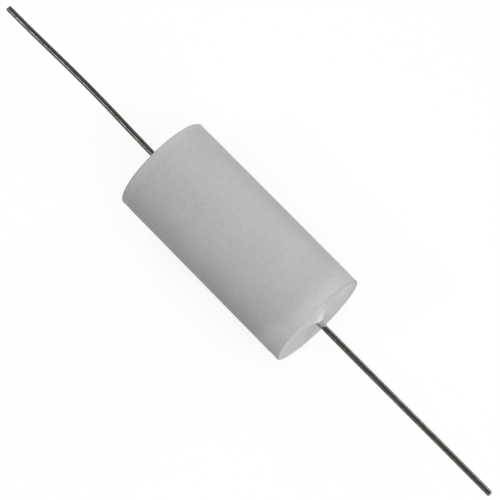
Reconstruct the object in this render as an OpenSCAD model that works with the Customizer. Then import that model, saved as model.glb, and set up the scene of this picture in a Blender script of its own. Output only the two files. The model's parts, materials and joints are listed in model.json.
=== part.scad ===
// Axial film capacitor, wrap-and-fill construction, in millimetres.
// The body's axis runs along X with the body's centre at the origin; +Z is up.
// A metallised film is wound on a plastic core, both ends are sprayed with zinc, and
// a wire lead is soldered to each. The winding is then wrapped in polyester tape
// that stands past it at both ends, and the two cups that leaves are filled with resin.

/* [Body] */
// Diameter over the tape wrap
body_d = 15.4; // [12:0.1:24]
// Length of the wrapped body
body_l = 31.5; // [26:0.5:60]
// Depth from the wrap's rim down to the end of the winding
cup_depth = 2.4; // [2.3:0.1:5]

/* [Tape wrap] */
// Thickness of one turn of tape
tape_t = 0.06; // [0.04:0.01:0.1]
// Whole turns of tape round the winding
tape_turns = 5; // [4:1:8]
// Angle over which the last turn laps past the start of the first
lap_angle = 40; // [10:5:90]
// Where the tape's free edge lies, turned from +Z round the axis towards +Y
lap_edge = 125; // [110:5:160]
// Rounding of the wrap's outer rims, where the warm tape curls in
rim_r = 0.25; // [0.1:0.05:0.4]

/* [Winding] */
// Outer diameter of the plastic core
core_d = 3; // [2.4:0.1:4]
// Bore of the plastic core
core_bore_d = 1.8; // [1.4:0.1:2.1]
// Thickness of the zinc sprayed on each end
spray_t = 0.5; // [0.3:0.1:0.6]

/* [Leads] */
// Diameter of the tinned wire
lead_d = 0.8; // [0.6:0.1:1]
// Free length of the left lead, past the body's end
lead_left_l = 32; // [5:0.5:60]
// Free length of the right lead, past the body's end
lead_right_l = 33.5; // [5:0.5:60]
// Radius of the bend inside the body, to the wire's centre
bend_r = 0.7; // [0.6:0.05:0.8]
// How much thinner the wire is from the bend on, where bending has drawn it
bend_thinning = 0.02; // [0.01:0.01:0.05]
// Straight length of the foot that lies along the zinc
foot_l = 3.4; // [3.2:0.1:4.2]

/* [Solder] */
// Film of solder between the foot and the zinc
solder_film = 0.05; // [0.03:0.01:0.1]
// Height of the joint above the zinc
solder_h = 0.7; // [0.5:0.05:0.8]
// Width of the joint where it meets the zinc
solder_w = 2.4; // [2:0.1:2.6]

/* [Resin fill] */
// How far below the rim the resin meets the wrap
fill_drop = 0.12; // [0.08:0.02:0.3]
// How much further the face's bowl sinks towards its middle
fill_dish = 0.2; // [0.1:0.05:0.4]
// Thickness of the resin skin round the wire, at its foot
skin_t = 0.09; // [0.07:0.01:0.14]
// Thickness of that skin near its top
skin_top_t = 0.06; // [0.04:0.01:0.06]
// How far the skin climbs the wire, past the rim
skin_l = 1.45; // [1:0.05:2]
// Height that the resin draws up round the wire, above the sunken face
meniscus_h = 0.8; // [0.4:0.05:1]
// Width of that rise, from the wire's skin out to where it dies away
meniscus_w = 2.4; // [1.2:0.1:3.6]
// How deep the resin runs into the core's bore
plug_l = 1; // [0.5:0.1:3]

/* [Hidden] */
$fn = 96;
// Overlap between shapes that become one solid, and reach of a cut past its face
join = 0.05;
cut = 1;

// Radii, from the outside in
body_r = body_d / 2;
wrap_t = tape_turns * tape_t;
winding_r = body_r - wrap_t;
core_r = core_d / 2;
bore_r = core_bore_d / 2;
lead_r = lead_d / 2;
foot_r = (lead_d - bend_thinning) / 2;
skin_r = lead_r + skin_t;

// The rounding leaves a narrow flat of the innermost turns at the rim
rim_flat = 0.05;
rim_round = min(rim_r, wrap_t - rim_flat);

// Stations along the axis, from the body's centre outwards
rim_x = body_l / 2;
winding_x = rim_x - cup_depth;
spray_x = winding_x + spray_t;
foot_x = spray_x + solder_film + foot_r;
bend_x = foot_x + bend_r;
fill_x = rim_x - fill_drop;
skin_x = rim_x + skin_l;

// The foot runs up from the bend, and the solder covers its outer end
foot_end_z = bend_r + foot_l;

// The joint is the top of a buried capsule: its radius follows from width and height
solder_r = (pow(solder_w / 2, 2) + pow(solder_h, 2)) / (2 * solder_h);
solder_x = spray_x + solder_h - solder_r;
// The joint starts clear of the core's bore and ends past the tip of the foot
solder_lap = 0.5;
solder_from_z = bore_r + solder_w / 2 + solder_lap / 2;
solder_to_z = foot_end_z + solder_lap - solder_w / 2;

// Straight stretches that the curve of the resin's face is drawn with
face_steps = 20;
// The skin's top rounds off over this length, down to this thickness
skin_run = 0.15;
skin_end = 0.02;

// Turns a shape built up the Z axis so that it lies along X
module along_x() {
    rotate([0, 90, 0]) children();
}

// Puts a right-hand end piece at the left end
module at_left() {
    mirror([1, 0, 0]) children();
}

// Tube along X, from one station to the next
module tube_x(outer_r, inner_r, from_x, to_x) {
    along_x() difference() {
        translate([0, 0, from_x]) cylinder(r = outer_r, h = to_x - from_x);
        translate([0, 0, from_x - cut])
            cylinder(r = inner_r, h = to_x - from_x + 2 * cut);
    }
}

// Half-section of the wrap: radius across, axis up, with both outer corners round
module wrap_section() {
    translate([winding_r, -rim_x])
        square([wrap_t - rim_round, body_l]);
    translate([winding_r, rim_round - rim_x])
        square([wrap_t, body_l - 2 * rim_round]);
    for (side = [-1, 1])
        translate([body_r - rim_round, side * (rim_x - rim_round)])
            intersection() {
                circle(r = rim_round);
                translate([0, min(side, 0) * rim_round]) square(rim_round);
            }
}

// The stretch where the last turn lies over the start of the first, one tape thick
module wrap_lap() {
    lap_l = body_l - 2 * rim_round;
    rotate([0, 0, 180 - lap_edge])
        rotate_extrude(angle = lap_angle)
            translate([body_r - tape_t, -lap_l / 2])
                square([2 * tape_t, lap_l]);
}

module tape_wrap() {
    color("whitesmoke") along_x() {
        rotate_extrude() wrap_section();
        wrap_lap();
    }
}

module film_winding() {
    color("lightsteelblue")
        tube_x(winding_r, core_r, -winding_x, winding_x);
}

module winding_core() {
    color("ivory")
        tube_x(core_r, bore_r, -winding_x, winding_x);
}

module end_spray() {
    color("slategray")
        tube_x(winding_r, bore_r, winding_x, spray_x);
}

// One wire: the free lead, the stretch that thins through the resin, the bend, and
// the foot along the zinc
module lead_wire(free_l) {
    along_x() {
        translate([0, 0, skin_x])
            cylinder(r = lead_r, h = rim_x + free_l - skin_x);
        translate([0, 0, bend_x])
            cylinder(r1 = foot_r, r2 = lead_r, h = skin_x - bend_x);
    }
    translate([bend_x, 0, bend_r])
        rotate([90, 0, 0])
            rotate([0, 0, 180])
                rotate_extrude(angle = 90)
                    translate([bend_r, 0]) circle(r = foot_r);
    translate([foot_x, 0, bend_r])
        cylinder(r = foot_r, h = foot_l);
}

module lead(free_l) {
    color("dimgray") lead_wire(free_l);
}

// Round-ended bar up the Z axis, from the centre of one end to that of the other
module capsule(r, l) {
    rotate_extrude()
        intersection() {
            translate([0, -r]) square([r, l + 2 * r]);
            union() {
                circle(r = r);
                square([r, l]);
                translate([0, l]) circle(r = r);
            }
        }
}

// Solder over the foot, with the wire's own space left out of it
module solder_joint() {
    bar_l = solder_to_z - solder_from_z;
    buried = solder_r + cut;
    difference() {
        translate([solder_x, 0, solder_from_z]) capsule(solder_r, bar_l);
        translate([spray_x - 2 * buried, -buried, solder_from_z - buried])
            cube([2 * buried, 2 * buried, bar_l + 2 * buried]);
        lead_wire(skin_l + cut);
    }
}

module solder() {
    color("lightgray") solder_joint();
}

// Height of the resin's face at a radius: a shallow bowl that rises round the wire
function face_x(r) =
    let (rise = max(0, 1 - (r - skin_r) / meniscus_w))
        fill_x - fill_dish * (1 - pow(r / winding_r, 2)) + meniscus_h * pow(rise, 3);

// Half-section of the resin in the cup: radius across, axis up. Its face is drawn from
// the wrap inwards, in steps that grow finer towards the wire, and ends in the skin.
module fill_section() {
    polygon([
        [0, spray_x],
        [winding_r, spray_x],
        for (step = [0 : face_steps])
            let (r = skin_r + (winding_r - skin_r) * pow(1 - step / face_steps, 2))
                [r, face_x(r)],
        [lead_r + skin_top_t, skin_x - skin_run],
        [lead_r + skin_end, skin_x],
        [0, skin_x]
    ]);
}

// Half-section of the resin that has run through the zinc into the core
module plug_section() {
    plug_x = winding_x - plug_l;
    translate([0, plug_x]) square([bore_r, spray_x - plug_x + join]);
}

module end_fill(free_l) {
    color("gainsboro") difference() {
        along_x() rotate_extrude() {
            fill_section();
            plug_section();
        }
        lead_wire(free_l);
        solder_joint();
    }
}

tape_wrap();
film_winding();
winding_core();
at_left() end_spray();  // end_spray_left
end_spray();  // end_spray_right
at_left() solder();  // solder_left
solder();  // solder_right
at_left() lead(lead_left_l);  // lead_left
lead(lead_right_l);  // lead_right
at_left() end_fill(lead_left_l);  // end_fill_left
end_fill(lead_right_l);  // end_fill_right
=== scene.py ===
# %% [markdown]
# # An axial film capacitor
# The part is a plain white cylinder, about 31 mm long, with a straight tinned wire out
# of each end. It is built up in the order in which it is made: film is wound on a small
# core, zinc is sprayed on both ends, a wire is soldered to each, polyester tape is wrapped
# round the roll, and resin closes the two cups that the tape leaves.
#
# The construction comes from a CAD model, loaded here as a fixed frame. Its six inner
# pieces keep their shape and only get a finish. The five that can be seen, which are the
# tape, the two resin ends and the two leads, are modelled again with the small faults
# that make them look real: lapped tape, drawn-up resin and cut wire.

# %% Load the frame
import json
import math

import bmesh
import bpy
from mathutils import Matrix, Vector


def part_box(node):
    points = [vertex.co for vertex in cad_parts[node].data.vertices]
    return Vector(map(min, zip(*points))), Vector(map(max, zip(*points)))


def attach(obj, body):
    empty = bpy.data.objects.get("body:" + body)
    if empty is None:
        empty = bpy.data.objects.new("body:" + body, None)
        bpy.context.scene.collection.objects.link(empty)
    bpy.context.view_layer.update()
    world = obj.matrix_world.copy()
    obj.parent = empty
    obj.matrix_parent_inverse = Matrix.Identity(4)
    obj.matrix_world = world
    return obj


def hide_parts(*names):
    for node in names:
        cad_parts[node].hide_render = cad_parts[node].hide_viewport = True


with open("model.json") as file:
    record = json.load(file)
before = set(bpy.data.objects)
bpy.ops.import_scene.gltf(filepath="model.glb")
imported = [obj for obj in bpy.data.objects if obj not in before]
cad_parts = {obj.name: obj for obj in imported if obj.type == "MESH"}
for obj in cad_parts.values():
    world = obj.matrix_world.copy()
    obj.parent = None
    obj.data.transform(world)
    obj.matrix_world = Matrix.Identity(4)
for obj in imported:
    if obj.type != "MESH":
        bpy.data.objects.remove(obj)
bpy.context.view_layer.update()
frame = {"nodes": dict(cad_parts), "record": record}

MM = 0.001

# %% [markdown]
# ## The camera
# The capacitor lies on its side and is seen from nearly overhead, with its right lead
# towards the lower right corner. The camera stands on a line given by two angles and a
# distance. A long lens keeps the two leads almost parallel, as in a catalogue picture.

# %% Place the camera
VIEW_AZIMUTH = math.radians(46.37)
VIEW_ELEVATION = math.radians(74.6)
VIEW_DISTANCE = 0.3622
VIEW_WIDTH = math.radians(10.97)
SLIDE_RIGHT = 1.52 * MM
SLIDE_UP = -1.21 * MM

out_of_picture = Vector((
    math.sin(VIEW_AZIMUTH) * math.cos(VIEW_ELEVATION),
    -math.cos(VIEW_AZIMUTH) * math.cos(VIEW_ELEVATION),
    math.sin(VIEW_ELEVATION),
))
picture_right = Vector((math.cos(VIEW_AZIMUTH), math.sin(VIEW_AZIMUTH), 0))
picture_up = out_of_picture.cross(picture_right)

bpy.ops.object.camera_add(
    location=VIEW_DISTANCE * out_of_picture
    + SLIDE_RIGHT * picture_right
    + SLIDE_UP * picture_up,
    rotation=(math.pi / 2 - VIEW_ELEVATION, 0, VIEW_AZIMUTH),
)
camera = bpy.context.object
camera.name = "camera"
camera.data.angle = VIEW_WIDTH
bpy.context.scene.camera = camera
print("camera at", [round(c, 4) for c in camera.location])

# %% [markdown]
# ## Sizes from the frame
# Sizes come from the CAD nodes' boxes and from the mounts in the record, so the new
# pieces fit round the old ones. The body lies along X with its centre at the origin.

# %% Read the sizes
mount_radius = {
    mount["name"]: mount["dims"]["r_mm"] * MM for mount in frame["record"]["mounts"]
}
BODY_R = mount_radius["barrel"]
LEAD_R = mount_radius["lead_right"]
RIM_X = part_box("tape_wrap")[1].x
WINDING_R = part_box("film_winding")[1].z
SPRAY_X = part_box("end_spray_right")[1].x
SKIN_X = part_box("end_fill_right")[1].x
PLUG_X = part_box("end_fill_right")[0].x
FOOT_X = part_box("lead_right")[0].x
FOOT_TOP_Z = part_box("lead_right")[1].z
LEFT_TIP_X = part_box("lead_left")[0].x
RIGHT_TIP_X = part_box("lead_right")[1].x


def least_radius(node):
    """How near a CAD node's mesh comes to the X axis: the radius of its bore."""
    return min(point.co.yz.length for point in frame["nodes"][node].data.vertices)


BORE_R = least_radius("end_spray_right")
for title, size in [
    ("body radius", BODY_R), ("winding radius", WINDING_R), ("bore radius", BORE_R),
    ("lead radius", LEAD_R), ("rim", RIM_X), ("zinc face", SPRAY_X),
]:
    print(f"{title}: {size / MM:.3f} mm")

# %% [markdown]
# ## Helpers for modelling
# An operator acts on everything that is selected. So each step first clears the
# selection, and then picks its own points, edges or faces by where they are.

# %% Selecting by place


def clear_selection():
    """Deselects every object, so that the next operator acts on the new piece alone."""
    for chosen in bpy.context.selected_objects:
        chosen.select_set(False)


def pick(kind, wanted):
    """In edit mode: selects only the VERT, EDGE or FACE elements that pass a test."""
    bpy.ops.mesh.select_mode(type=kind)
    bpy.ops.mesh.select_all(action="DESELECT")
    data = bpy.context.object.data
    mesh = bmesh.from_edit_mesh(data)
    for element in {"VERT": mesh.verts, "EDGE": mesh.edges, "FACE": mesh.faces}[kind]:
        if wanted(element):
            element.select_set(True)
    mesh.select_flush_mode()
    bmesh.update_edit_mesh(data)
    return data.count_selected_items()


def open_loop_near(x):
    """In edit mode: selects the open edge loop that lies at a station along X."""
    reach = 0.01 * MM
    return pick("EDGE", lambda edge: edge.is_boundary
                and all(abs(point.co.x - x) < reach for point in edge.verts))


# %% [markdown]
# Nearly everything on this part is round about the X axis. It can be spun from a
# half-section, or drawn out of a cylinder's open end one ring at a time. Drawing it out
# is easier to follow: each ring is the last one, extruded along X and scaled.

# %% Cylinders along X, and rings drawn out of them


def choose(piece):
    """Makes a piece the only one selected, and the active one."""
    clear_selection()
    piece.select_set(True)
    bpy.context.view_layer.objects.active = piece


def edit(piece):
    choose(piece)
    bpy.ops.object.mode_set(mode="EDIT")


def leave_edit():
    bpy.ops.object.mode_set(mode="OBJECT")


def add_tube(name, radius, x_from, x_to, columns, rings):
    """Adds an open cylinder along X, cut into rings, with its place in its mesh."""
    clear_selection()
    bpy.ops.mesh.primitive_cylinder_add(
        vertices=columns, radius=radius, depth=abs(x_to - x_from),
        end_fill_type="NOTHING", location=((x_from + x_to) / 2, 0, 0),
        rotation=(0, math.pi / 2, 0),
    )
    piece = bpy.context.object
    piece.name = name
    piece.data.name = name
    bpy.ops.object.transform_apply(location=True, rotation=True, scale=True)
    edit(piece)
    half = abs(x_to - x_from) / 2
    pick("EDGE", lambda edge: abs(edge.verts[0].co.x - edge.verts[1].co.x) > half)
    bpy.ops.mesh.subdivide(number_cuts=rings - 1)
    leave_edit()
    return piece


def extrude(shift):
    """In edit mode: draws new faces out of the selected edges."""
    bpy.ops.mesh.extrude_edges_move(TRANSFORM_OT_translate={"value": shift})


def draw_rings(start, stations):
    """In edit mode: draws the selected ring on through (x, radius) stations."""
    x, radius = start
    for next_x, next_radius in stations:
        extrude((next_x - x, 0, 0))
        growth = next_radius / radius
        bpy.ops.transform.resize(value=(1, growth, growth), center_override=(0, 0, 0))
        x, radius = next_x, next_radius


def close_loop():
    """In edit mode: fills the selected loop, and fans the new face from its middle."""
    bpy.ops.mesh.edge_face_add()
    bpy.ops.mesh.poke()


# %% [markdown]
# Small unevenness is added with the Displace modifier, as a sculptor would brush it on:
# a vertex group says where and how much, and a cloud texture says how it wanders.

# %% Weights, displacement and finishing
CLOUD_DEPTH = 2
CLOUD_MIDDLE = 0.5
MERGE_WITHIN = 0.0002 * MM


def smooth_step(low, high, value):
    """0 below low, 1 above high, and an even curve between."""
    share = min(max((value - low) / (high - low), 0), 1)
    return share * share * (3 - 2 * share)


def weigh(piece, name, weight_at):
    """Paints a vertex group: weight_at gets each point's place and returns 0 to 1."""
    group = piece.vertex_groups.new(name=name)
    for point in piece.data.vertices:
        weight = weight_at(point.co)
        if weight > 0:
            group.add([point.index], weight, "REPLACE")


def turn_angle(place):
    """Degrees round the axis, from +Z towards +Y."""
    return math.degrees(math.atan2(place.y, place.z))


def apply_modifier(piece, modifier):
    choose(piece)
    bpy.ops.object.modifier_apply(modifier=modifier.name)


def displace(piece, group, strength, grain=None, direction="NORMAL"):
    """Moves the group's points out by strength, or to and fro by clouds of a grain."""
    modifier = piece.modifiers.new("displace", "DISPLACE")
    modifier.vertex_group = group
    modifier.direction = direction
    modifier.strength = strength
    modifier.mid_level = 0
    if grain:
        clouds = bpy.data.textures.new(f"{piece.name} {group} clouds", "CLOUDS")
        clouds.noise_scale = grain
        clouds.noise_depth = CLOUD_DEPTH
        modifier.texture = clouds
        modifier.texture_coords = "LOCAL"
        modifier.mid_level = CLOUD_MIDDLE
    apply_modifier(piece, modifier)


def finish_mesh(piece, sharp_angle):
    """Merges doubles, turns the faces outwards, and shades smooth below an angle."""
    edit(piece)
    bpy.ops.mesh.select_all(action="SELECT")
    bpy.ops.mesh.remove_doubles(threshold=MERGE_WITHIN)
    bpy.ops.mesh.normals_make_consistent(inside=False)
    leave_edit()
    bpy.ops.object.shade_smooth_by_angle(angle=math.radians(sharp_angle))
    mesh = bmesh.new()
    mesh.from_mesh(piece.data)
    open_edges = sum(not edge.is_manifold for edge in mesh.edges)
    volume = mesh.calc_volume(signed=True) / MM**3
    mesh.free()
    print(f"{piece.name}: {len(piece.data.polygons)} faces, {open_edges} open edges,"
          f" {volume:.1f} mm3")


# %% [markdown]
# ## The tape wrap
# Five turns of thin polyester tape hold the roll. The tape is wider than the roll, and
# its margins are the walls of the two resin cups. Warmth has made them curl in a little,
# so at the rim each turn ends a hair behind the one inside it, and the five cut edges
# show as fine ledges.
#
# The wall starts as an open cylinder with enough rings and columns to take a lap and
# some unevenness. The ledges are drawn out of its two open ends.

# %% Roll the wall
WRAP_COLUMNS = 288
WRAP_RINGS = 100
TAPE_TURNS = 5
TAPE_T = (BODY_R - WINDING_R) / TAPE_TURNS
RIM_ROUND = 0.25 * MM


def turn_end(turn):
    """Where a turn's cut edge lies along X, on the rounding of the rim."""
    depth = (turn + 0.5) * TAPE_T
    across = max(0, RIM_ROUND - depth)
    return RIM_X - RIM_ROUND + math.sqrt(RIM_ROUND**2 - across**2)


WALL_END = turn_end(0) - TAPE_T / 2
wrap = add_tube("tape_wrap_skin", BODY_R, -WALL_END, WALL_END, WRAP_COLUMNS, WRAP_RINGS)
print("each turn is", round(TAPE_T / MM, 3), "mm thick")

# %% Draw out the five cut edges at both rims
EDGE_BENDS = 4


def cut_edge(turn):
    """Stations round one turn's cut edge, which is a half circle, and into the crease."""
    outer = BODY_R - turn * TAPE_T
    stations = [(turn_end(turn) - TAPE_T / 2, outer)] if turn else []
    for bend in range(1, EDGE_BENDS):
        angle = math.pi * bend / EDGE_BENDS
        stations.append((
            turn_end(turn) - TAPE_T / 2 * (1 - math.sin(angle)),
            outer - TAPE_T / 2 * (1 - math.cos(angle)),
        ))
    return stations + [(turn_end(turn) - TAPE_T, outer - TAPE_T)]


edit(wrap)
rim_stations = [station for turn in range(TAPE_TURNS) for station in cut_edge(turn)]
for side in (1, -1):
    open_loop_near(side * WALL_END)
    draw_rings((side * WALL_END, BODY_R), [(side * x, r) for x, r in rim_stations])
pick("EDGE", lambda edge: edge.is_boundary)
bpy.ops.mesh.bridge_edge_loops()
leave_edit()
print("rim rings at each end:", len(rim_stations))

# %% [markdown]
# The last turn laps past the start of the first one. Over the start it climbs slowly,
# because the edge is buried under four turns. Its own free edge is a clean step down,
# one tape thick. The column of points just past the step is turned back against it,
# so that the step is steep.

# %% Lap the last turn
LAP_FROM = 85
LAP_EDGE = 125
LAP_CLIMB = 9
LAP_STEP = 0.15
COLUMN_STEP = 360 / WRAP_COLUMNS
LAST_TURN_R = BODY_R - 0.9 * TAPE_T


def on_last_turn(place):
    """True on the outer side of the last turn of tape."""
    return place.yz.length > LAST_TURN_R


edit(wrap)
foot_angle = LAP_EDGE + COLUMN_STEP
pick("VERT", lambda point: on_last_turn(point.co)
     and abs(turn_angle(point.co) - foot_angle) < COLUMN_STEP / 4)
bpy.ops.transform.rotate(
    value=math.radians(LAP_STEP - COLUMN_STEP), orient_axis="X",
    center_override=(0, 0, 0))
leave_edit()


def lap_weight(place):
    angle = turn_angle(place)
    if not on_last_turn(place) or angle > LAP_EDGE + LAP_STEP / 2:
        return 0
    return smooth_step(LAP_FROM, LAP_FROM + LAP_CLIMB, angle)


def note(piece, name, value_at):
    """Writes a value at each point, for a material to read."""
    layer = piece.data.attributes.new(name, "FLOAT", "POINT")
    layer.data.foreach_set("value", [value_at(point.co) for point in piece.data.vertices])


note(wrap, "lapped", lap_weight)
# The column at the foot of the lap's step, for a dark line that is partly dust and partly
# painted shade.
note(wrap, "step_dust_and_shade", lambda place: on_last_turn(place)
     and abs(turn_angle(place) - LAP_EDGE - LAP_STEP) < COLUMN_STEP / 4)
weigh(wrap, "lap", lap_weight)
displace(wrap, "lap", TAPE_T)
print("the lap covers", LAP_EDGE - LAP_FROM, "degrees")

# %% [markdown]
# The tape isn't quite even. It dips by a few hundredths of a millimetre where nothing
# but resin is under it, it has slow waves from the winding, and each cut edge wanders a
# little. A slight twist lets the lap run from end to end at a small slant.

# %% Make the tape uneven
WAVE = 0.03 * MM
WAVE_GRAIN = 7 * MM
RIPPLE = 0.012 * MM
RIPPLE_GRAIN = 1.6 * MM
CUP_DIP = -0.03 * MM
EDGE_WANDER = 0.024 * MM
EDGE_GRAIN = 2.5 * MM
LAP_SLANT = 2.2


def outside(place):
    """1 on the outer wall, falling to 0 over the rim and inside it."""
    return smooth_step(BODY_R - 2 * TAPE_T, BODY_R - TAPE_T / 2, place.yz.length)


def over_resin(place):
    """1 midway between the zinc and the rim, 0 at both."""
    share = (abs(place.x) - SPRAY_X) / (RIM_X - SPRAY_X)
    return outside(place) * max(0, math.sin(math.pi * share)) if share > 0 else 0


def on_turn(turn):
    """Weight for one turn's cut edge at the rim, fading to its neighbours."""
    middle = BODY_R - (turn + 0.5) * TAPE_T

    def weight(place):
        if abs(place.x) < WALL_END - TAPE_T:
            return 0
        return max(0, 1 - abs(place.yz.length - middle) / TAPE_T)

    return weight


weigh(wrap, "waves", outside)
displace(wrap, "waves", WAVE, WAVE_GRAIN)
weigh(wrap, "over resin", over_resin)
displace(wrap, "over resin", CUP_DIP)
displace(wrap, "over resin", RIPPLE, RIPPLE_GRAIN)
for turn in range(TAPE_TURNS):
    weigh(wrap, f"turn {turn}", on_turn(turn))
    displace(wrap, f"turn {turn}", EDGE_WANDER, EDGE_GRAIN + turn * TAPE_T, "X")

twist = wrap.modifiers.new("slant", "SIMPLE_DEFORM")
twist.deform_method = "TWIST"
twist.deform_axis = "X"
twist.angle = math.radians(LAP_SLANT)
apply_modifier(wrap, twist)

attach(wrap, "root")
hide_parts("tape_wrap")
finish_mesh(wrap, sharp_angle=35)

# %% [markdown]
# ## The leads
# Each lead is one piece of tinned wire. Inside the resin it turns up into a foot that is
# soldered to the zinc. Outside it runs straight, apart from the slight bow that soft
# wire keeps from the reel, and its tip is sheared off: a flat, slightly tilted face
# with a soft edge where the blade has dragged the tin.
#
# The wire is a tube with rings. Its inner end is spun through the bend and drawn out as
# the foot, and proportional editing pulls the free length into its bow. Last, the free
# length gets its coat of tin, which lies a little unevenly.

# %% Draw the two leads
LEAD_SIDES = 32
LEAD_RINGS = 70
BEND_R = 0.7 * MM
BEND_STEPS = 8
FOOT_R = LEAD_R - 0.01 * MM
BEND_X = FOOT_X + FOOT_R + BEND_R
SHEAR_DRAG = 0.12 * MM
SHEAR_RINGS = ((0.7, (1, 1.0, 0.97)), (0.3, (1, 0.9, 0.86)))
SHEAR_TILT = 7
SAME_RING = 0.001 * MM
TIN_COAT = 0.02 * MM
TIN_RISE = 1 * MM
LUMPS = 0.012 * MM
LUMP_GRAIN = 1.1 * MM


def drag(shift, reach):
    """In edit mode: moves the selected points, and their neighbours within reach."""
    bpy.ops.transform.translate(
        value=shift, use_proportional_edit=True,
        proportional_edit_falloff="SMOOTH", proportional_size=reach)


def pull(x, reach, shift):
    """In edit mode: drags the ring nearest a station."""
    points = bmesh.from_edit_mesh(bpy.context.object.data).verts
    nearest = min((point.co.x for point in points), key=lambda station: abs(station - x))
    pick("VERT", lambda point: abs(point.co.x - nearest) < SAME_RING)
    drag(shift, reach)


def make_lead(name, side, tip_x, bows):
    """Shears, bends and bows one wire: each bow is (station, reach, shift)."""
    wall_end = tip_x - side * SHEAR_DRAG
    lead = add_tube(name, LEAD_R, side * SKIN_X, wall_end, LEAD_SIDES, LEAD_RINGS)
    edit(lead)
    open_loop_near(wall_end)
    for share, squeeze in SHEAR_RINGS:
        extrude((side * SHEAR_DRAG * share, 0, 0))
        bpy.ops.transform.resize(value=squeeze, center_override=(0, 0, 0))
    bpy.ops.transform.rotate(
        value=math.radians(SHEAR_TILT), orient_axis="Y",
        center_override=(tip_x, 0, 0))
    close_loop()
    open_loop_near(side * SKIN_X)
    draw_rings((side * SKIN_X, LEAD_R), [(side * BEND_X, FOOT_R)])
    bpy.ops.mesh.spin(
        steps=BEND_STEPS, angle=-side * math.pi / 2,
        center=(side * BEND_X, 0, BEND_R), axis=(0, 1, 0))
    extrude((0, 0, FOOT_TOP_Z - BEND_R))
    close_loop()
    for x, reach, shift in bows:
        pull(x, reach, shift)
    leave_edit()
    weigh(lead, "free length",
          lambda place: smooth_step(SKIN_X, SKIN_X + TIN_RISE, abs(place.x)))
    displace(lead, "free length", TIN_COAT)
    displace(lead, "free length", LUMPS, LUMP_GRAIN)
    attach(lead, "root")
    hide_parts(name.replace("_wire", ""))
    finish_mesh(lead, sharp_angle=40)
    return lead


lead_left = make_lead("lead_left_wire", -1, LEFT_TIP_X, bows=[
    (-31 * MM, 15 * MM, (0, 0.22 * MM, 0.02 * MM)),
])
lead_right = make_lead("lead_right_wire", 1, RIGHT_TIP_X, bows=[
    (RIGHT_TIP_X, 31 * MM, (0, 0.12 * MM, 0)),
])

# %% [markdown]
# ## The resin ends
# Resin is poured into each cup and sets a little below the rim. Its face is a shallow
# bowl, it creeps up the tape at the wall, and it is drawn up round the wire in a mound
# that ends as a thin skin on the wire.
#
# The face is drawn from the wall inwards as rings, on the same curve as the CAD model's,
# then down the back to make a closed block. The wire's own shape is cut out of it.

# %% The curve of the resin's face
FILL_DROP = 0.12 * MM
FILL_DISH = 0.2 * MM
WALL_CREEP = 0.09 * MM
WALL_CREEP_W = 0.5 * MM
MOUND_H = 0.8 * MM
MOUND_W = 2.4 * MM
SKIN_ROOT_R = LEAD_R + 0.09 * MM
SKIN_TOP_R = LEAD_R + 0.06 * MM
SKIN_EDGE_R = LEAD_R + 0.02 * MM
SKIN_RUN = 0.15 * MM


def face_x(radius):
    """Height of the resin's face at a radius."""
    bowl = FILL_DISH * (1 - (radius / WINDING_R) ** 2)
    rise = max(0, 1 - (radius - SKIN_ROOT_R) / MOUND_W)
    spread = max(0, 1 - (WINDING_R - radius) / WALL_CREEP_W)
    return RIM_X - FILL_DROP - bowl + MOUND_H * rise**3 + WALL_CREEP * spread**3


print("face at the wall, halfway and at the wire:",
      [round(face_x(r) / MM, 3) for r in (WINDING_R, WINDING_R / 2, SKIN_ROOT_R)])

# %% Rings of the resin's face
FILL_COLUMNS = 120
WALL_RINGS = 4
CREEP_RINGS = 5
BOWL_RINGS = 16
MOUND_RINGS = 18
MOUND_CLOSENESS = 1.6
SKIN_RINGS = 8


def face_radii():
    """Radii of the face's rings, from the wall in, closest at the wall and the wire."""
    mound_r = SKIN_ROOT_R + MOUND_W
    creep_r = WINDING_R - WALL_CREEP_W
    radii = [WINDING_R - WALL_CREEP_W * k / CREEP_RINGS for k in range(CREEP_RINGS)]
    radii += [creep_r + (mound_r - creep_r) * k / BOWL_RINGS for k in range(BOWL_RINGS)]
    radii += [SKIN_ROOT_R + MOUND_W * (1 - k / MOUND_RINGS) ** MOUND_CLOSENESS
              for k in range(MOUND_RINGS + 1)]
    return radii


def pour(name, side):
    """One end's resin as a closed block, still without room for the wire."""
    wall_end = face_x(WINDING_R)
    root_x = face_x(SKIN_ROOT_R)
    top_x = SKIN_X - SKIN_RUN
    fill = add_tube(
        name, WINDING_R, side * SPRAY_X, side * wall_end, FILL_COLUMNS, WALL_RINGS)
    edit(fill)
    open_loop_near(side * wall_end)
    stations = [(face_x(r), r) for r in face_radii()[1:]]
    stations += [(root_x + (top_x - root_x) * k / SKIN_RINGS,
                  SKIN_ROOT_R + (SKIN_TOP_R - SKIN_ROOT_R) * k / SKIN_RINGS)
                 for k in range(1, SKIN_RINGS + 1)]
    stations += [(SKIN_X, SKIN_EDGE_R)]
    draw_rings((side * wall_end, WINDING_R), [(side * x, r) for x, r in stations])
    close_loop()
    open_loop_near(side * SPRAY_X)
    draw_rings((side * SPRAY_X, WINDING_R),
               [(side * SPRAY_X, BORE_R), (side * PLUG_X, BORE_R)])
    close_loop()
    leave_edit()
    return fill


# %% [markdown]
# Resin shrinks as it cures. That leaves shallow hollows, slow waves, a crease that runs
# out from the wire, and a few burst bubbles in the face. The skin on the wire reaches
# further on one side. The hollows are pressed in with proportional editing, and the
# crease is a vertex group along a line of places. The bubbles are small balls, taken out
# with a Boolean modifier. Its Manifold solver needs closed meshes, and then it cuts the
# same way every time.

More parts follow.
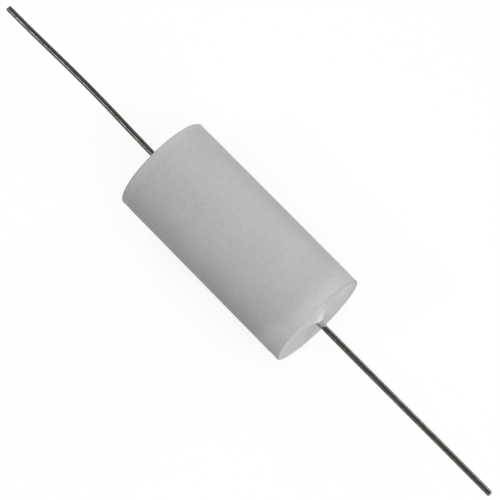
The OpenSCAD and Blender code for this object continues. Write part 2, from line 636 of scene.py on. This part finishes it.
# %% Hollows, crease, waves and bubbles
FACE_WAVE = 0.05 * MM
FACE_GRAIN = 2.6 * MM
SKIN_WAVE = 0.3 * MM
SKIN_GRAIN = 0.5 * MM
SKIN_SHORTER = 0.3 * MM
FACE_BACK = SPRAY_X + 1 * MM
FACE_FADE_WALL = 0.6 * MM
FACE_FADE_WIRE = 0.8 * MM
CREASE_DEPTH = 0.13 * MM
CREASE_W = 0.3 * MM
# The width of the painted shade along the crease.
CREASE_SHADE_W = 0.22 * MM
BUBBLE_SIDES = 16
BUBBLE_RINGS = 8
OUTSIDE_X = 20 * MM


def press(side, place, reach, depth):
    """In edit mode: presses the face in round a place (y, z), as far as a reach."""
    points = bmesh.from_edit_mesh(bpy.context.object.data).verts
    face = [point for point in points
            if abs(point.co.x) > FACE_BACK and point.co.yz.length > SKIN_TOP_R]
    nearest = min(face, key=lambda point: (point.co.yz - Vector(place)).length).index
    pick("VERT", lambda point: point.index == nearest)
    drag((-side * depth, 0, 0), reach)


def near_path(place, path, reach):
    """1 on a line through (y, z) places, falling to 0 at a reach from it."""
    if abs(place.x) < FACE_BACK or place.yz.length < SKIN_ROOT_R:
        return 0
    gaps = []
    for start, end in zip(path, path[1:]):
        way = Vector(end) - Vector(start)
        share = (place.yz - Vector(start)).dot(way) / way.length_squared
        nearest = Vector(start) + way * min(max(share, 0), 1)
        gaps.append((place.yz - nearest).length)
    return smooth_step(reach, 0, min(gaps))


def on_face(place):
    """1 over the bowl, 0 at the wall, at the wire and on the block's back."""
    if abs(place.x) < FACE_BACK:
        return 0
    return (smooth_step(WINDING_R, WINDING_R - FACE_FADE_WALL, place.yz.length)
            * smooth_step(SKIN_ROOT_R, SKIN_ROOT_R + FACE_FADE_WIRE, place.yz.length))


def up_the_skin(place):
    """0 at the root of the skin on the wire, 1 at its end."""
    root_x = face_x(SKIN_ROOT_R)
    return smooth_step(root_x, SKIN_X, abs(place.x)) * (place.yz.length > LEAD_R / 2)


def thin_side(place):
    """How far up the skin a point is, on the side towards -Y, where the skin ends sooner."""
    root_x = face_x(SKIN_ROOT_R)
    share = max(0, (abs(place.x) - root_x) / (SKIN_X - root_x))
    return share * smooth_step(LEAD_R / 3, -LEAD_R / 2, place.y)


def cut_away(piece, tool):
    """Takes another piece's shape out of a piece."""
    modifier = piece.modifiers.new("cut", "BOOLEAN")
    modifier.operation = "DIFFERENCE"
    modifier.solver = "MANIFOLD"
    modifier.object = tool
    apply_modifier(piece, modifier)


def burst_bubbles(fill, side, bubbles):
    """Takes small balls out of the face: each is (y, z, radius)."""
    clear_selection()
    balls = []
    for y, z, radius in bubbles:
        from_outside = Vector((side * OUTSIDE_X, y, z))
        _, where, _, _ = fill.ray_cast(from_outside, Vector((-side, 0, 0)))
        bpy.ops.mesh.primitive_uv_sphere_add(
            segments=BUBBLE_SIDES, ring_count=BUBBLE_RINGS, radius=radius, location=where)
        balls.append(bpy.context.object)
    for ball in balls:
        ball.select_set(True)
    bpy.ops.object.join()
    joined = bpy.context.object
    cut_away(fill, joined)
    bpy.data.objects.remove(joined)


# %% [markdown]
# The faults of each end are written in millimetres: a hollow as (y, z, reach, depth), the
# crease as the (y, z) places that it runs through, and a bubble as (y, z, radius).

# %% Pour the two ends


def in_metres(rows):
    return [tuple(value * MM for value in row) for row in rows]


def make_fill(name, side, lead, hollows, crease, bubbles):
    """Pours one end, works its face, and cuts the wire and the bubbles out of it."""
    path = in_metres(crease)
    fill = pour(name, side)
    edit(fill)
    for y, z, reach, depth in in_metres(hollows):
        press(side, (y, z), reach, depth)
    leave_edit()
    weigh(fill, "face", on_face)
    displace(fill, "face", FACE_WAVE, FACE_GRAIN, "X")
    weigh(fill, "crease", lambda place: near_path(place, path, CREASE_W))
    displace(fill, "crease", -side * CREASE_DEPTH, direction="X")
    # Marks the points along the crease, where painted shade darkens the resin.
    note(fill, "painted_crease_shade", lambda place: near_path(place, path, CREASE_SHADE_W))
    weigh(fill, "thin side", thin_side)
    displace(fill, "thin side", -side * SKIN_SHORTER, direction="X")
    weigh(fill, "skin end", up_the_skin)
    displace(fill, "skin end", SKIN_WAVE, SKIN_GRAIN, "X")
    cut_away(fill, lead)
    burst_bubbles(fill, side, in_metres(bubbles))
    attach(fill, "root")
    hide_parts(name.replace("_resin", ""))
    finish_mesh(fill, sharp_angle=50)
    return fill


fill_right = make_fill(
    "end_fill_right_resin", 1, lead_right,
    hollows=[(-0.6, -3.2, 2.6, 0.24), (-2.0, -4.6, 2.4, 0.12)],
    crease=[(-0.42, 0.5), (-0.65, 0.36), (-0.95, 0.22), (-1.2, -0.05), (-1.3, -0.6)],
    bubbles=[(-0.36, -4.66, 0.13), (-2.15, -4.5, 0.11),
             (-3.4, -4.75, 0.1), (2.7, -4.05, 0.12)],
)
fill_left = make_fill(
    "end_fill_left_resin", -1, lead_left,
    hollows=[(1.4, -2.6, 2.8, 0.2), (-3.2, 2.4, 2.6, 0.12)],
    crease=[(0.5, 0.3), (1.3, 1.1), (1.5, 2.1)],
    bubbles=[(1.9, 3.2, 0.13), (-2.6, 1.4, 0.09), (0.9, -4.6, 0.11)],
)

# %% [markdown]
# ## Shared shader groups
# The finishes have a few effects in common: soft mottling, small specks, and a change of
# tone past a station along the axis. Each is a node group with named inputs, built once
# and placed in each material with its own values. A group could also hold the whole
# shader, but then the exporter couldn't read it, so a group puts out only a mask between
# 0 and 1, and the shader stays in each material.

# %% Node helpers
VECTOR = "NodeSocketVector"
NUMBER = "NodeSocketFloat"


def add_node(tree, kind, **settings):
    node = tree.nodes.new(kind)
    for name, value in settings.items():
        setattr(node, name, value)
    return node


def connect(tree, source, socket):
    """Links a socket to another, or gives it a plain value. A colour may leave out alpha."""
    if isinstance(source, bpy.types.NodeSocket):
        tree.links.new(source, socket)
    elif socket.type == "RGBA" and len(source) == 3:
        socket.default_value = (*source, 1)
    else:
        socket.default_value = source


def feed(tree, node, **sources):
    """Sets or links a node's inputs by name, with _ for spaces."""
    for name, source in sources.items():
        connect(tree, source, node.inputs[name.replace("_", " ")])


def new_group(name, inputs):
    """A shader node group: inputs are (name, socket type, value), and it puts out a mask."""
    tree = bpy.data.node_groups.new(name, "ShaderNodeTree")
    for title, kind, value in inputs:
        socket = tree.interface.new_socket(title, in_out="INPUT", socket_type=kind)
        if value is not None:
            socket.default_value = value
    tree.interface.new_socket("Mask", in_out="OUTPUT", socket_type=NUMBER)
    entry = add_node(tree, "NodeGroupInput")
    leave = add_node(tree, "NodeGroupOutput")
    return tree, entry.outputs, leave.inputs["Mask"]


def calculate(tree, operation, first, second=0.0):
    node = add_node(tree, "ShaderNodeMath", operation=operation)
    connect(tree, first, node.inputs[0])
    connect(tree, second, node.inputs[1])
    return node.outputs[0]


def soften(tree, value, low, high, to_low=0.0, to_high=1.0):
    """Maps a value from low..high to to_low..to_high along an even curve."""
    node = add_node(tree, "ShaderNodeMapRange", interpolation_type="SMOOTHSTEP")
    feed(tree, node, Value=value, From_Min=low, From_Max=high, To_Min=to_low, To_Max=to_high)
    return node.outputs["Result"]


def split(tree, vector):
    """The X, Y and Z of a vector."""
    node = add_node(tree, "ShaderNodeSeparateXYZ")
    connect(tree, vector, node.inputs[0])
    return node.outputs


def clouds(tree, vector, scale, detail=2.0):
    node = add_node(tree, "ShaderNodeTexNoise")
    feed(tree, node, Vector=vector, Scale=scale, Detail=detail)
    return node.outputs["Fac"]


# %% [markdown]
# Mottle is cloud noise with its contrast turned up. A stretch along one axis draws the
# clouds out into streaks. Scale counts clouds per metre, so 1000 gives clouds 1 mm wide.

# %% Group: mottle
CLOUD_SPREAD = 0.55

mottle, inputs, mask = new_group("mottle", [
    ("Vector", VECTOR, None), ("Stretch", VECTOR, (1, 1, 1)),
    ("Scale", NUMBER, 400.0), ("Detail", NUMBER, 3.0), ("Contrast", NUMBER, 0.5),
])
stretched = add_node(mottle, "ShaderNodeVectorMath", operation="MULTIPLY")
connect(mottle, inputs["Vector"], stretched.inputs[0])
connect(mottle, inputs["Stretch"], stretched.inputs[1])
cloud = clouds(mottle, stretched.outputs[0], inputs["Scale"], inputs["Detail"])
half_contrast = calculate(mottle, "MULTIPLY", inputs["Contrast"], 0.5)
reach = calculate(mottle, "SUBTRACT", CLOUD_SPREAD, half_contrast)
lowest = calculate(mottle, "SUBTRACT", CLOUD_MIDDLE, reach)
highest = calculate(mottle, "ADD", CLOUD_MIDDLE, reach)
connect(mottle, soften(mottle, cloud, lowest, highest), mask)
print("mottle has", len(mottle.nodes), "nodes")

# %% [markdown]
# Specks are round spots. A Voronoi texture gives each cell a distance from its middle
# and a random colour; the distance draws the spot, and the colour picks which cells
# have one. They serve as air trapped under the tape, as dust, and as filler in resin.

# %% Group: specks
specks, inputs, mask = new_group("specks", [
    ("Vector", VECTOR, None), ("Scale", NUMBER, 900.0),
    ("Size", NUMBER, 0.16), ("Share", NUMBER, 0.2),
])
cells = add_node(specks, "ShaderNodeTexVoronoi", feature="F1")
feed(specks, cells, Vector=inputs["Vector"], Scale=inputs["Scale"])
in_sizes = calculate(specks, "DIVIDE", cells.outputs["Distance"], inputs["Size"])
spot = soften(specks, in_sizes, 1.0, 0.5)
lot = add_node(specks, "ShaderNodeSeparateColor")
connect(specks, cells.outputs["Color"], lot.inputs[0])
chosen = calculate(specks, "LESS_THAN", lot.outputs[0], inputs["Share"])
connect(specks, calculate(specks, "MULTIPLY", spot, chosen), mask)
print("specks has", len(specks.nodes), "nodes")

# %% [markdown]
# The third group is 1 past a station along the axis and 0 before it. The border is soft,
# and it wanders with the clouds. Station can be given a plain number, or a value that
# changes round the part.

# %% Group: past a station
BORDER_GRAIN = 300.0

past_station, inputs, mask = new_group("past_station", [
    ("Vector", VECTOR, None), ("Side", NUMBER, 1.0), ("Station", NUMBER, 0.0138),
    ("Softness", NUMBER, 0.0003), ("Wander", NUMBER, 0.0004),
])
place = split(past_station, inputs["Vector"])
level = calculate(past_station, "MULTIPLY", place["X"], inputs["Side"])
border = clouds(past_station, inputs["Vector"], BORDER_GRAIN)
to_and_fro = calculate(past_station, "SUBTRACT", border, CLOUD_MIDDLE)
drift = calculate(past_station, "MULTIPLY", inputs["Wander"], to_and_fro)
level = calculate(past_station, "ADD", level, drift)
beyond = calculate(past_station, "SUBTRACT", level, inputs["Station"])
in_softness = calculate(past_station, "DIVIDE", beyond, inputs["Softness"])
connect(past_station, soften(past_station, in_softness, -1.0, 1.0), mask)
print("past_station has", len(past_station.nodes), "nodes")

# %% [markdown]
# ## Finishes
# Every material starts the same way: a Principled shader with plain numbers on its own
# sockets, and Object coordinates. All objects sit at the origin, so these are the part's
# own coordinates in metres, and a pattern keeps its place on every piece.

# %% Material helpers
MIX_FACTOR = 0
MIX_LOW = 6
MIX_HIGH = 7
MIX_RESULT = 2


def new_material(name, roughness=0.5, metallic=0.0, specular=0.5):
    """A node material, its shader, and the Object coordinates that patterns read."""
    material = bpy.data.materials.new(name)
    material.use_nodes = True
    tree = material.node_tree
    shader = tree.nodes["Principled BSDF"]
    feed(tree, shader, Roughness=roughness, Metallic=metallic, Specular_IOR_Level=specular)
    coordinates = add_node(tree, "ShaderNodeTexCoord").outputs["Object"]
    return material, tree, shader, coordinates


def use_group(tree, group, coordinates, **values):
    """Places a shared group in a material, and returns its mask."""
    node = add_node(tree, "ShaderNodeGroup", node_tree=group)
    feed(tree, node, Vector=coordinates, **values)
    return node.outputs["Mask"]


def noted(tree, name):
    """Reads back a value that was noted at the points."""
    return add_node(tree, "ShaderNodeAttribute", attribute_name=name).outputs["Fac"]


def mix(tree, mask, low, high, blend="MIX"):
    """Blends two colours by a mask."""
    node = add_node(tree, "ShaderNodeMix", data_type="RGBA", blend_type=blend)
    for number, source in ((MIX_FACTOR, mask), (MIX_LOW, low), (MIX_HIGH, high)):
        connect(tree, source, node.inputs[number])
    return node.outputs[MIX_RESULT]


def tint(tree, colour, *layers):
    """Multiplies a colour by a factor where a mask is 1: each layer is (mask, factor)."""
    for mask, factor in layers:
        colour = mix(tree, mask, colour, factor, "MULTIPLY")
    return colour


def bump(tree, shader, *layers):
    """Stacks bumps: each layer is (height, distance)."""
    normal = None
    for height, distance in layers:
        node = add_node(tree, "ShaderNodeBump")
        feed(tree, node, Height=height, Distance=distance)
        if normal:
            connect(tree, normal, node.inputs["Normal"])
        normal = node.outputs["Normal"]
    connect(tree, normal, shader.inputs["Normal"])


def dress(piece, material):
    """Gives a piece one material, whether it is new or a CAD node."""
    piece.data.materials.clear()
    piece.data.materials.append(material)


# %% [markdown]
# ### Milky tape
# The tape is white polyester, a little see-through. Over the film roll it looks grey,
# because the metal under it drinks the light; over the resin at each end it is clearly
# lighter. The border is soft, since light spreads inside the tape. Light scattering in
# the shader could give this by itself, but it would be lost in an exported model, so
# the two tones are written down and blended at the stations where the roll ends. Part of
# the lighter band is painted light: a glow of light from the lit right end through the
# tape. It reaches further in along both flanks, is clearest on the shaded near flank,
# and is faint at the left end.
#
# Up close, the tape has faint rings from the winding, slow clouds, a few bubbles of
# trapped air, and a fine dull grain. Where the last turn laps over, one more layer
# makes it a shade lighter, and a dark line sits against the step: partly dust, and
# partly painted shade at the foot of the step.

# %% Milky tape: what lies under it, and a painted glow
OVER_FILM = (0.4535, 0.4535, 0.4445)
OVER_RESIN = (0.565, 0.565, 0.559)
BAND_SOFTNESS = 1.2 * MM
BAND_WANDER = 1.0 * MM
BAND_START = SPRAY_X + 0.1 * MM
# How much further in the painted glow reaches along the near and far flanks.
GLOW_REACH_NEAR = 2.2 * MM
GLOW_REACH_FAR = 2.4 * MM
FLANK_FROM = 0.5 * BODY_R
FAR_FLANK_BAND_AND_GLOW = 0.48
NEAR_FLANK_BAND_AND_GLOW = 0.76
LEFT_START = SPRAY_X + 0.7 * MM
LEFT_SOFTNESS = BAND_SOFTNESS * 0.6
LEFT_SHARE = 0.3

tape, tree, shader, coordinates = new_material("wrap_tape", specular=0.12)
across = split(tree, coordinates)["Y"]
# Painted glow: the band reaches about 2 mm further in along both flanks, as light from the
# lit right end glowing through the tape.
near_side = soften(tree, across, -FLANK_FROM, -BODY_R, 0.0, GLOW_REACH_NEAR)
far_side = soften(tree, across, FLANK_FROM, BODY_R, 0.0, GLOW_REACH_FAR)
spread = calculate(tree, "ADD", near_side, far_side)
resin_and_glow_right = use_group(
    tree, past_station, coordinates, Side=1.0,
    Station=calculate(tree, "SUBTRACT", BAND_START, spread),
    Softness=BAND_SOFTNESS, Wander=BAND_WANDER)
resin_left = use_group(
    tree, past_station, coordinates, Side=-1.0,
    Station=LEFT_START, Softness=LEFT_SOFTNESS, Wander=BAND_WANDER)
# Painted glow: the right band is strongest on the shaded near flank and weaker on the lit far
# flank; the left band stays faint, since that end gets less light.
right_band_and_glow = soften(tree, across, BODY_R, -BODY_R, FAR_FLANK_BAND_AND_GLOW, NEAR_FLANK_BAND_AND_GLOW)
resin_and_glow_right = calculate(tree, "MULTIPLY", resin_and_glow_right, right_band_and_glow)
resin_left = calculate(tree, "MULTIPLY", resin_left, LEFT_SHARE)
resin_band_and_glow = calculate(tree, "MAXIMUM", resin_and_glow_right, resin_left)
colour = mix(tree, resin_band_and_glow, OVER_FILM, OVER_RESIN)

# %% Milky tape: lap, clouds, bubbles and grain
TAPE_ROUGHNESS = (0.44, 0.56)

cloudy = use_group(tree, mottle, coordinates, Scale=170.0, Contrast=0.3)
ringed = use_group(tree, mottle, coordinates, Stretch=(8, 1, 1), Scale=120.0, Contrast=0.35)
bubbles = use_group(tree, specks, coordinates, Scale=520.0, Size=0.11, Share=0.09)
dust = use_group(tree, specks, coordinates, Scale=760.0, Size=0.05, Share=0.06)
grain = use_group(tree, mottle, coordinates, Scale=2200.0, Detail=5.0, Contrast=0.7)
# The dark line at the foot of the step is partly dust and partly painted shade.
dust_and_shade_line = calculate(tree, "MULTIPLY", noted(tree, "step_dust_and_shade"), cloudy)
colour = tint(
    tree, colour,
    (cloudy, (0.94, 0.94, 0.935)), (ringed, (0.975, 0.975, 0.98)),
    (grain, (0.93, 0.93, 0.93)), (bubbles, (1.05, 1.05, 1.05)),
    (dust, (0.8, 0.79, 0.77)), (noted(tree, "lapped"), (1.04, 1.04, 1.04)),
    (dust_and_shade_line, (0.8, 0.79, 0.76)))
roughness = soften(tree, cloudy, 0, 1, *TAPE_ROUGHNESS)
feed(tree, shader, Base_Color=colour, Roughness=roughness)
bump(tree, shader, (ringed, 0.006 * MM), (bubbles, 0.012 * MM), (grain, 0.003 * MM))
dress(wrap, tape)
print("wrap_tape has", len(tree.nodes), "nodes")

# %% [markdown]
# ### Cast resin
# The resin is a white filled resin, cured with a satin face. It is nearly even, with a
# little cloudiness and a few dark specks of filler. Three things happen at the wire.
# The skin that climbs it is so thin that the dark metal shows through; on the near side
# it is darker still, partly where the skin ends sooner and partly as painted shade on
# its unlit side. On the upper side, a painted highlight makes the resin whiter round the
# wire's root and in a streak that runs up to the wall. And painted shade darkens the
# resin along the crease that runs out from the wire.

# %% Cast resin: a painted highlight, and where it is thin or shaded
HIGHLIGHT_FULL = LEAD_R + 0.5 * MM
HIGHLIGHT_END = LEAD_R + 3.0 * MM
HIGHLIGHT_STREAK_FULL = 0.6 * MM
HIGHLIGHT_STREAK_END = 2.2 * MM
HIGHLIGHT_STREAK_SHARE = 0.75
UPPER_FROM = -0.1 * MM
UPPER_FULL = 0.5 * MM
HIGHLIGHT_PATCHY = 0.75
THIN_FULL = LEAD_R + 0.05 * MM
THIN_END = LEAD_R + 0.3 * MM
SHADED_SKIN_FROM = -0.1 * MM
SHOWS_THROUGH = 0.85


def distance_from_origin(tree, vector):
    node = add_node(tree, "ShaderNodeVectorMath", operation="LENGTH")
    connect(tree, vector, node.inputs[0])
    return node.outputs["Value"]


resin, tree, shader, coordinates = new_material("cast_resin", specular=0.16)
place = split(tree, coordinates)
in_face = add_node(tree, "ShaderNodeCombineXYZ")
connect(tree, place["Y"], in_face.inputs["Y"])
connect(tree, place["Z"], in_face.inputs["Z"])
radius = distance_from_origin(tree, in_face.outputs[0])
cloudy = use_group(tree, mottle, coordinates, Scale=260.0, Contrast=0.4)
filler = use_group(tree, specks, coordinates, Scale=1100.0, Size=0.1, Share=0.05)
# Painted highlight: lighter round the wire's root and in a streak above it, on the upper side
# only, broken up by fine clouds.
highlight_breakup = use_group(tree, mottle, coordinates, Scale=1500.0, Contrast=0.5)
near_wire = soften(tree, radius, HIGHLIGHT_END, HIGHLIGHT_FULL)
off_middle = calculate(tree, "ABSOLUTE", place["Y"])
above_wire = soften(tree, off_middle, HIGHLIGHT_STREAK_END, HIGHLIGHT_STREAK_FULL, 0.0, HIGHLIGHT_STREAK_SHARE)
upper_side = soften(tree, place["Z"], UPPER_FROM, UPPER_FULL)
painted_highlight = calculate(tree, "MAXIMUM", near_wire, above_wire)
painted_highlight = calculate(tree, "MULTIPLY", painted_highlight, upper_side)
painted_highlight = calculate(tree, "MULTIPLY", painted_highlight, soften(tree, highlight_breakup, 0, 1, 1.0, HIGHLIGHT_PATCHY))
thin = soften(tree, radius, THIN_END, THIN_FULL, 0.0, SHOWS_THROUGH)
# Painted shade: the skin is darkest on its near side, partly where it runs out sooner and
# partly as the shade on its unlit side.
near_side = soften(tree, place["Y"], SHADED_SKIN_FROM, -LEAD_R)
thinnest_and_shaded = calculate(tree, "MULTIPLY", thin, near_side)

# %% Cast resin: tones and relief
RESIN_PALE = (0.587, 0.587, 0.584)
RESIN_DEEP = (0.54, 0.54, 0.537)
# The colour of the painted highlight on the upper side of the wire.
RESIN_HIGHLIGHT = (0.675, 0.675, 0.67)
RESIN_OVER_WIRE = (0.265, 0.27, 0.26)
RESIN_ROUGHNESS = (0.36, 0.5)

# Painted shade along the crease, next to the edge of the mound.
painted_crease_shade = noted(tree, "painted_crease_shade")
fine = use_group(tree, mottle, coordinates, Scale=1400.0, Detail=4.0, Contrast=0.3)
colour = mix(tree, cloudy, RESIN_PALE, RESIN_DEEP)
colour = mix(tree, painted_highlight, colour, RESIN_HIGHLIGHT)
colour = mix(tree, thin, colour, RESIN_OVER_WIRE)
# The first and last tints are painted shade, on the skin's near side and along the crease;
# the middle one is specks of filler.
colour = tint(
    tree, colour,
    (thinnest_and_shaded, (0.5, 0.5, 0.49)), (filler, (0.8, 0.8, 0.79)), (painted_crease_shade, (0.62, 0.62, 0.61)))
roughness = soften(tree, cloudy, 0, 1, *RESIN_ROUGHNESS)
feed(tree, shader, Base_Color=colour, Roughness=roughness)
bump(tree, shader, (cloudy, 0.02 * MM), (fine, 0.004 * MM))
dress(fill_left, resin)
dress(fill_right, resin)
print("cast_resin has", len(tree.nodes), "nodes")

# %% [markdown]
# ### Tinned wire
# The wire has been drawn and then tinned, and the tin has dulled to a dark grey. It is
# a metal, so its look comes from its roughness and from what it reflects. Short streaks
# lie along it, olive stains darken it in places, and fine grains in the tin break up
# the highlight. The two tips were sheared after tinning, so there the metal is bright.

# %% Tinned wire
TIN_BRIGHT = (0.168, 0.169, 0.162)
TIN_DARK = (0.118, 0.119, 0.114)
CUT_METAL = (0.62, 0.58, 0.53)
CUT_EDGE = 0.05 * MM
TIN_GRAZED = (0.3, 0.3, 0.29)
TIN_ROUGHNESS = (0.23, 0.27)
GRAIN_ROUGHNESS = 0.05

wire, tree, shader, coordinates = new_material("tinned_wire", metallic=1.0)
feed(tree, shader, Specular_Tint=TIN_GRAZED)
streaks = use_group(
    tree, mottle, coordinates, Stretch=(0.3, 1, 1), Scale=2600.0, Contrast=0.5)
drawn = use_group(
    tree, mottle, coordinates, Stretch=(0.05, 1, 1), Scale=11000.0, Contrast=0.7)
grains = use_group(tree, mottle, coordinates, Scale=4600.0, Detail=4.0, Contrast=0.8)
stains = use_group(tree, mottle, coordinates, Scale=900.0, Contrast=0.6)
colour = mix(tree, streaks, TIN_BRIGHT, TIN_DARK)
colour = tint(
    tree, colour,
    (drawn, (0.8, 0.8, 0.8)), (grains, (0.7, 0.7, 0.7)), (stains, (0.78, 0.78, 0.7)))
for side, tip_x in ((1.0, RIGHT_TIP_X), (-1.0, LEFT_TIP_X)):
    cut = use_group(tree, past_station, coordinates, Side=side,
                    Station=abs(tip_x) - CUT_EDGE, Softness=CUT_EDGE / 2, Wander=CUT_EDGE)
    colour = mix(tree, cut, colour, CUT_METAL)
dull_streaks = soften(tree, streaks, 0, 1, *TIN_ROUGHNESS)
dull_grains = soften(tree, grains, 0, 1, 0.0, GRAIN_ROUGHNESS)
roughness = calculate(tree, "ADD", dull_streaks, dull_grains)
feed(tree, shader, Base_Color=colour, Roughness=roughness)
bump(tree, shader, (streaks, 0.004 * MM), (drawn, 0.002 * MM), (grains, 0.0005 * MM))
dress(lead_left, wire)
dress(lead_right, wire)
print("tinned_wire has", len(tree.nodes), "nodes")

# %% [markdown]
# ### Inner pieces
# Nothing of these shows while the part is whole. They keep their CAD shape and get a
# plain finish of their own, so that the part still makes sense if it is opened: bright
# rings on the wound film, a moulded core, rough sprayed zinc and smooth set solder.

# %% Wound film
FILM_DARK = (0.55, 0.58, 0.64)
FILM_PALE = (0.7, 0.72, 0.76)

film, tree, shader, coordinates = new_material("metallised_film", roughness=0.3, metallic=1.0)
turns = add_node(tree, "ShaderNodeTexWave", wave_type="RINGS", rings_direction="X")
feed(tree, turns, Vector=coordinates, Scale=3000.0, Distortion=0.6)
rings = turns.outputs["Fac"]
feed(tree, shader, Base_Color=mix(tree, rings, FILM_DARK, FILM_PALE))
bump(tree, shader, (rings, 0.01 * MM))
dress(frame["nodes"]["film_winding"], film)

# %% Core, zinc and solder


def mottled_finish(name, low, high, height, roughness, metallic, **pattern):
    """A plain finish: patches of two colours, which also stand up a little."""
    material, tree, shader, coordinates = new_material(name, roughness, metallic)
    patches = use_group(tree, mottle, coordinates, **pattern)
    feed(tree, shader, Base_Color=mix(tree, patches, low, high))
    bump(tree, shader, (patches, height))
    return material


core = mottled_finish(
    "core_plastic", low=(0.72, 0.68, 0.58), high=(0.64, 0.6, 0.5), height=0.01 * MM,
    roughness=0.6, metallic=0.0, Scale=500.0, Contrast=0.4)
zinc = mottled_finish(
    "sprayed_zinc", low=(0.5, 0.51, 0.52), high=(0.3, 0.31, 0.33), height=0.05 * MM,
    roughness=0.7, metallic=1.0, Scale=4000.0, Detail=6.0, Contrast=0.6)
solder = mottled_finish(
    "solder", low=(0.72, 0.72, 0.71), high=(0.58, 0.58, 0.57), height=0.02 * MM,
    roughness=0.3, metallic=1.0, Scale=1200.0, Contrast=0.4)
dress(frame["nodes"]["winding_core"], core)
for end in ("left", "right"):
    dress(frame["nodes"][f"end_spray_{end}"], zinc)
    dress(frame["nodes"][f"solder_{end}"], solder)
print("materials:", [material.name for material in bpy.data.materials])

# %% [markdown]
# ## Floor, sky and lamps
# The part lies on white paper in a bright room. A catalogue picture has a pure white
# ground, which could be had by pouring light on it, but that would burn out the part.
# Instead the paper glows a little, and only for the camera and for reflections: those
# rays see it near white, while ordinary light finds it grey and throws back less. Close
# to the part the glow is weaker, so that the part keeps a soft shadow.

# %% Paper floor
FLOOR_SIZE = 4
PAPER = 0.37
PAPER_SHOWN = 0.95
MIRRORED_SHARE = 0.75
GLOW_NEAR = 0.86
GLOW_FROM = 15 * MM
GLOW_FULL = 55 * MM

clear_selection()
bpy.ops.mesh.primitive_plane_add(size=FLOOR_SIZE, location=(0, 0, -BODY_R))
floor = bpy.context.object
floor.name = "floor"


def background_rays(tree):
    """1 for rays that show a background: from the camera, or by way of gloss or glass."""
    rays = add_node(tree, "ShaderNodeLightPath").outputs
    mirrored = calculate(tree, "MAXIMUM", rays["Is Glossy Ray"], rays["Is Transmission Ray"])
    return rays["Is Camera Ray"], mirrored


paper, tree, shader, coordinates = new_material("white paper", roughness=0.9, specular=0.1)
from_camera, mirrored = background_rays(tree)
shown = calculate(tree, "MULTIPLY", mirrored, MIRRORED_SHARE)
shown = calculate(tree, "MAXIMUM", from_camera, shown)
glow = add_node(tree, "ShaderNodeEmission")
feed(tree, glow, Color=(1, 1, 1), Strength=1.0)
feed(tree, shader, Base_Color=mix(tree, shown, (PAPER,) * 3, (PAPER_SHOWN,) * 3))
from_middle = distance_from_origin(tree, coordinates)
glow_share = soften(tree, from_middle, GLOW_FROM, GLOW_FULL, GLOW_NEAR, 1.0)
blend = add_node(tree, "ShaderNodeMixShader")
connect(tree, calculate(tree, "MULTIPLY", shown, glow_share), blend.inputs[0])
tree.links.new(shader.outputs[0], blend.inputs[1])
tree.links.new(glow.outputs[0], blend.inputs[2])
tree.links.new(blend.outputs[0], tree.nodes["Material Output"].inputs["Surface"])
dress(floor, paper)
print("floor at", round(floor.location.z / MM, 2), "mm")

# %% [markdown]
# The sky gives hardly any light. To a reflection it is white at the horizon and darker
# overhead, as in a room with a black ceiling, and that dark patch is what draws the
# dark core along the top of each wire.

# %% Sky
AMBIENT = 0.06
ZENITH = 0.38
DARKENS_FROM = 0.15
DARKEST_FROM = 0.95

world = bpy.data.worlds.new("studio")
world.use_nodes = True
bpy.context.scene.world = world
tree = world.node_tree
from_camera, mirrored = background_rays(tree)
way_up = split(tree, add_node(tree, "ShaderNodeTexCoord").outputs["Generated"])["Z"]
dome = soften(tree, way_up, DARKENS_FROM, DARKEST_FROM, 1.0, ZENITH)
level = mix(tree, mirrored, (AMBIENT,) * 3, dome)
level = mix(tree, from_camera, level, (1, 1, 1))
connect(tree, level, tree.nodes["Background"].inputs["Color"])

# %% [markdown]
# The lamps are square softboxes, all equally far off. A large one overhead and one at the
# far side shape the barrel, with its dark side towards the viewer. Two more light the two
# ends. The last two are small and add little light, but the wires mirror them: the strip,
# in front and to the left, is the bright line on the left wire, and the low one greys the
# right wire's edge.
#
# Their strength is written as a share: how bright a white surface gets that faces the
# lamp. The shares that reach the top of the barrel add up to about 1, so that a colour
# renders about as it is written.

# %% Lamps
LAMP_DISTANCE = 0.6


def add_softbox(name, direction, size, share):
    """A square lamp that aims at the part, strong enough for its share."""
    way = Vector(direction).normalized()
    bpy.ops.object.light_add(
        type="AREA", location=way * LAMP_DISTANCE,
        rotation=way.to_track_quat("Z", "Y").to_euler())
    lamp = bpy.context.object
    lamp.name = name
    lamp.data.shape = "SQUARE"
    lamp.data.size = size
    lamp.data.energy = share * math.pi**2 * LAMP_DISTANCE**2
    print(f"{name}: {lamp.data.energy:.2f} W")
    return lamp


top = add_softbox("top softbox", (0.12, -0.2, 1.0), size=0.5, share=0.415)
top.visible_glossy = False
add_softbox("side softbox", (0.1, 0.93, 0.22), size=0.3, share=0.41)
add_softbox("front softbox", (0.8, 0.0, 0.6), size=0.55, share=0.78)
add_softbox("back softbox", (-0.85, 0.3, 0.35), size=0.4, share=0.45)
add_softbox("strip softbox", (-0.36, -0.7, 0.63), size=0.12, share=0.18)
add_softbox("low softbox", (-0.05, -0.97, 0.22), size=0.12, share=0.02)

# %% Colours as written
bpy.context.scene.view_settings.view_transform = "Standard"
